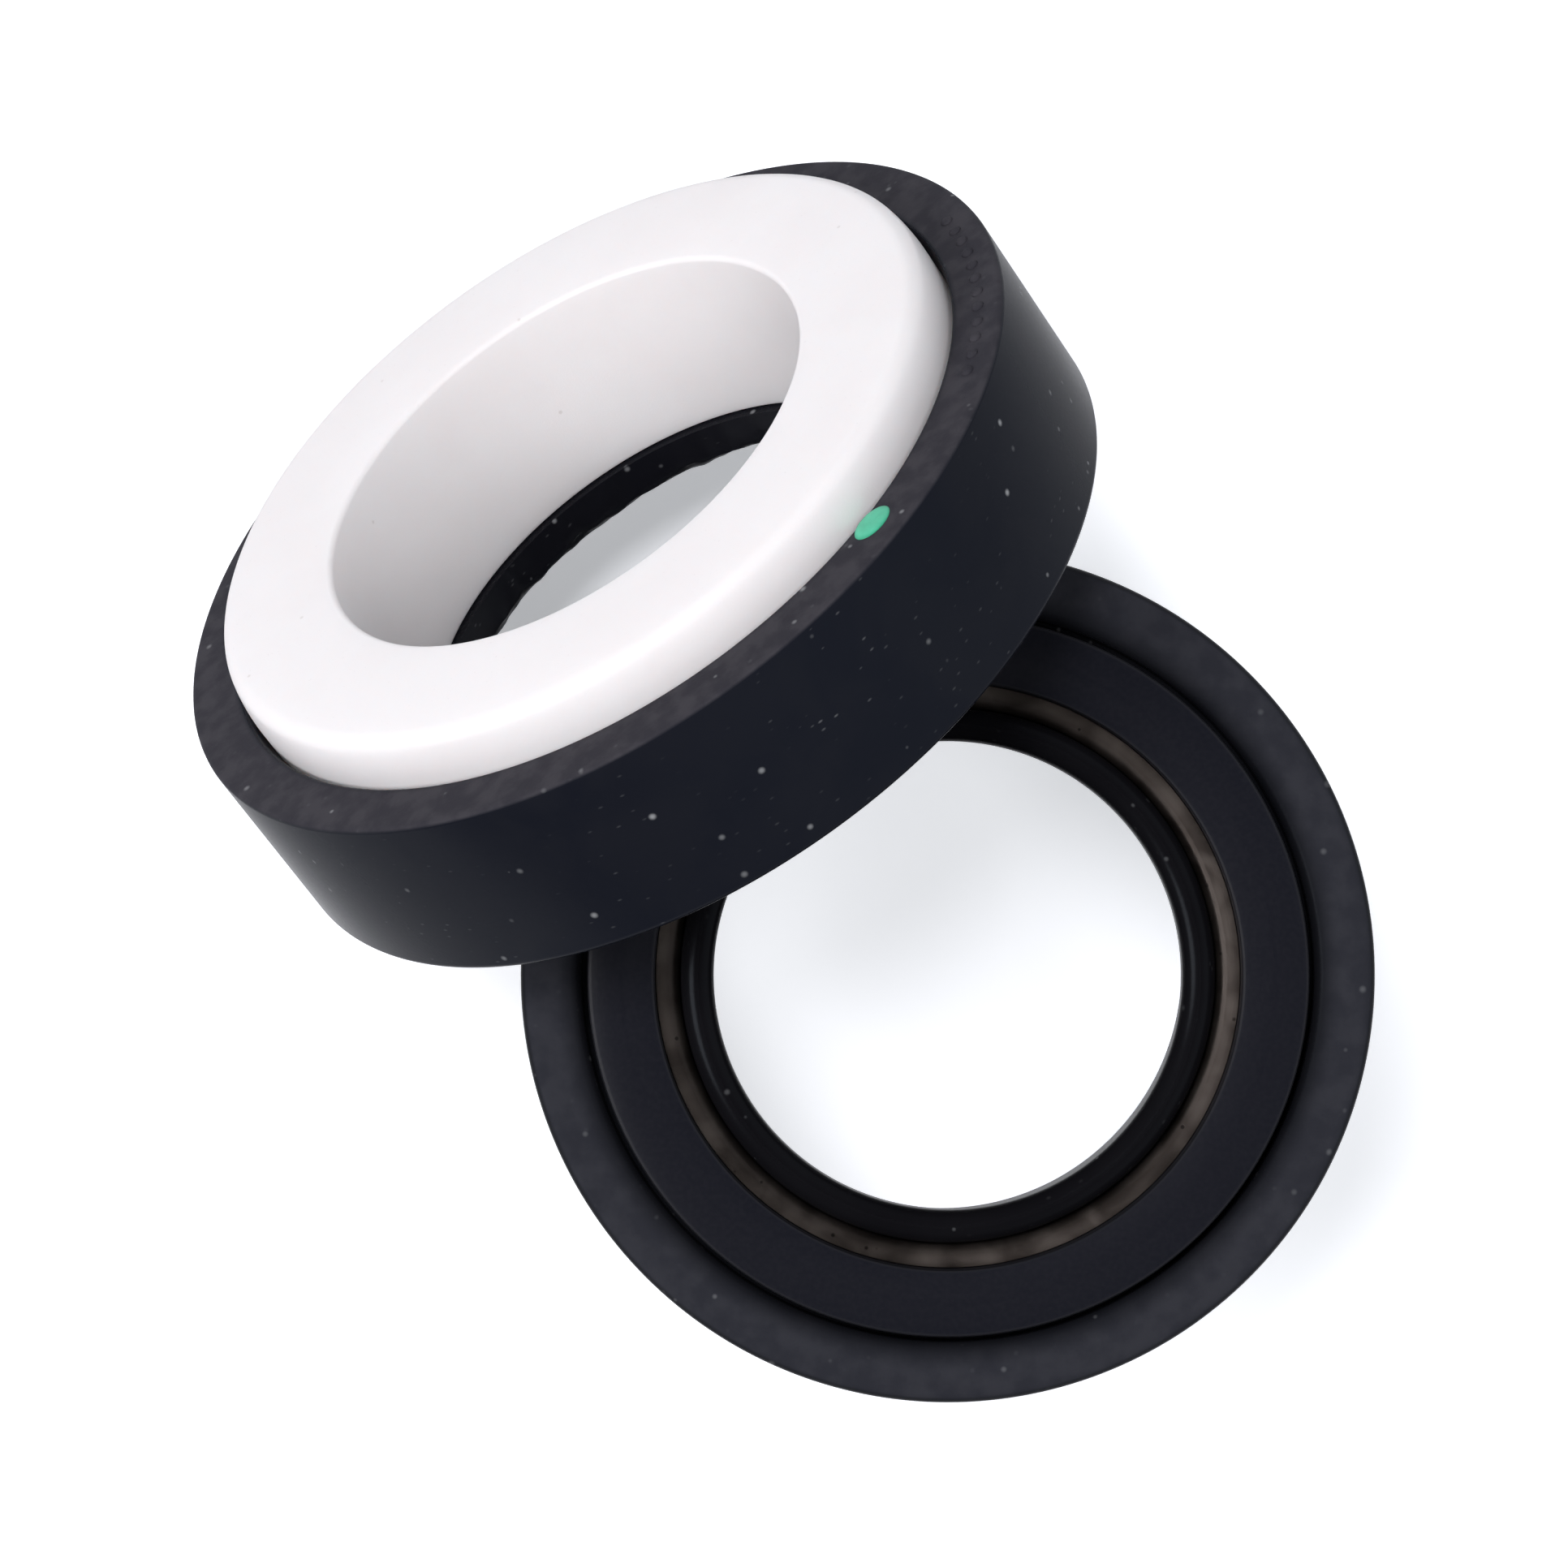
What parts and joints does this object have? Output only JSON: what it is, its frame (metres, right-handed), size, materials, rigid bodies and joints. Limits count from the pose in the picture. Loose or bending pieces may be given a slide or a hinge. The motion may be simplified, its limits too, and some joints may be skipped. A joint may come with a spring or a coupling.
{
  "type": "component mechanical seal",
  "caption": "Mechanical shaft seal in two halves: a white ceramic seat in a rubber cup leans on a sprung rotary head with a carbon face in a rubber boot.",
  "frame": {"origin": "on the shaft axis, where the rotary head's shaft bore opens at its front", "axes": "+Z along the shaft axis out of the head's running face, up; +X to the right and +Y up in the picture, which looks down -Z"},
  "size_m": [0.0505, 0.0534, 0.038],
  "materials": {
    "ceramic": "white fired alumina, lapped on the face",
    "rubber": "matte black moulded rubber",
    "carbon": "lapped black carbon graphite",
    "clamp": "brown-grey tarnished pressed metal",
    "spring_steel": "drawn stainless spring wire"
  },
  "bodies": {
    "base": {"drive_spring": "spring_steel", "seat_ring": "ceramic", "seat_cup": "rubber"},
    "head": {"head_boot": "rubber", "face_ring": "carbon", "clamp_ring": "clamp"}
  },
  "joints": [
    {"name": "face_float", "type": "slide", "parent": "base", "child": "head", "axis": [0, 0, -1], "range_m": [0, 0.003], "stiffness_N_per_m": 12000, "deforming": ["drive_spring"]}
  ]
}
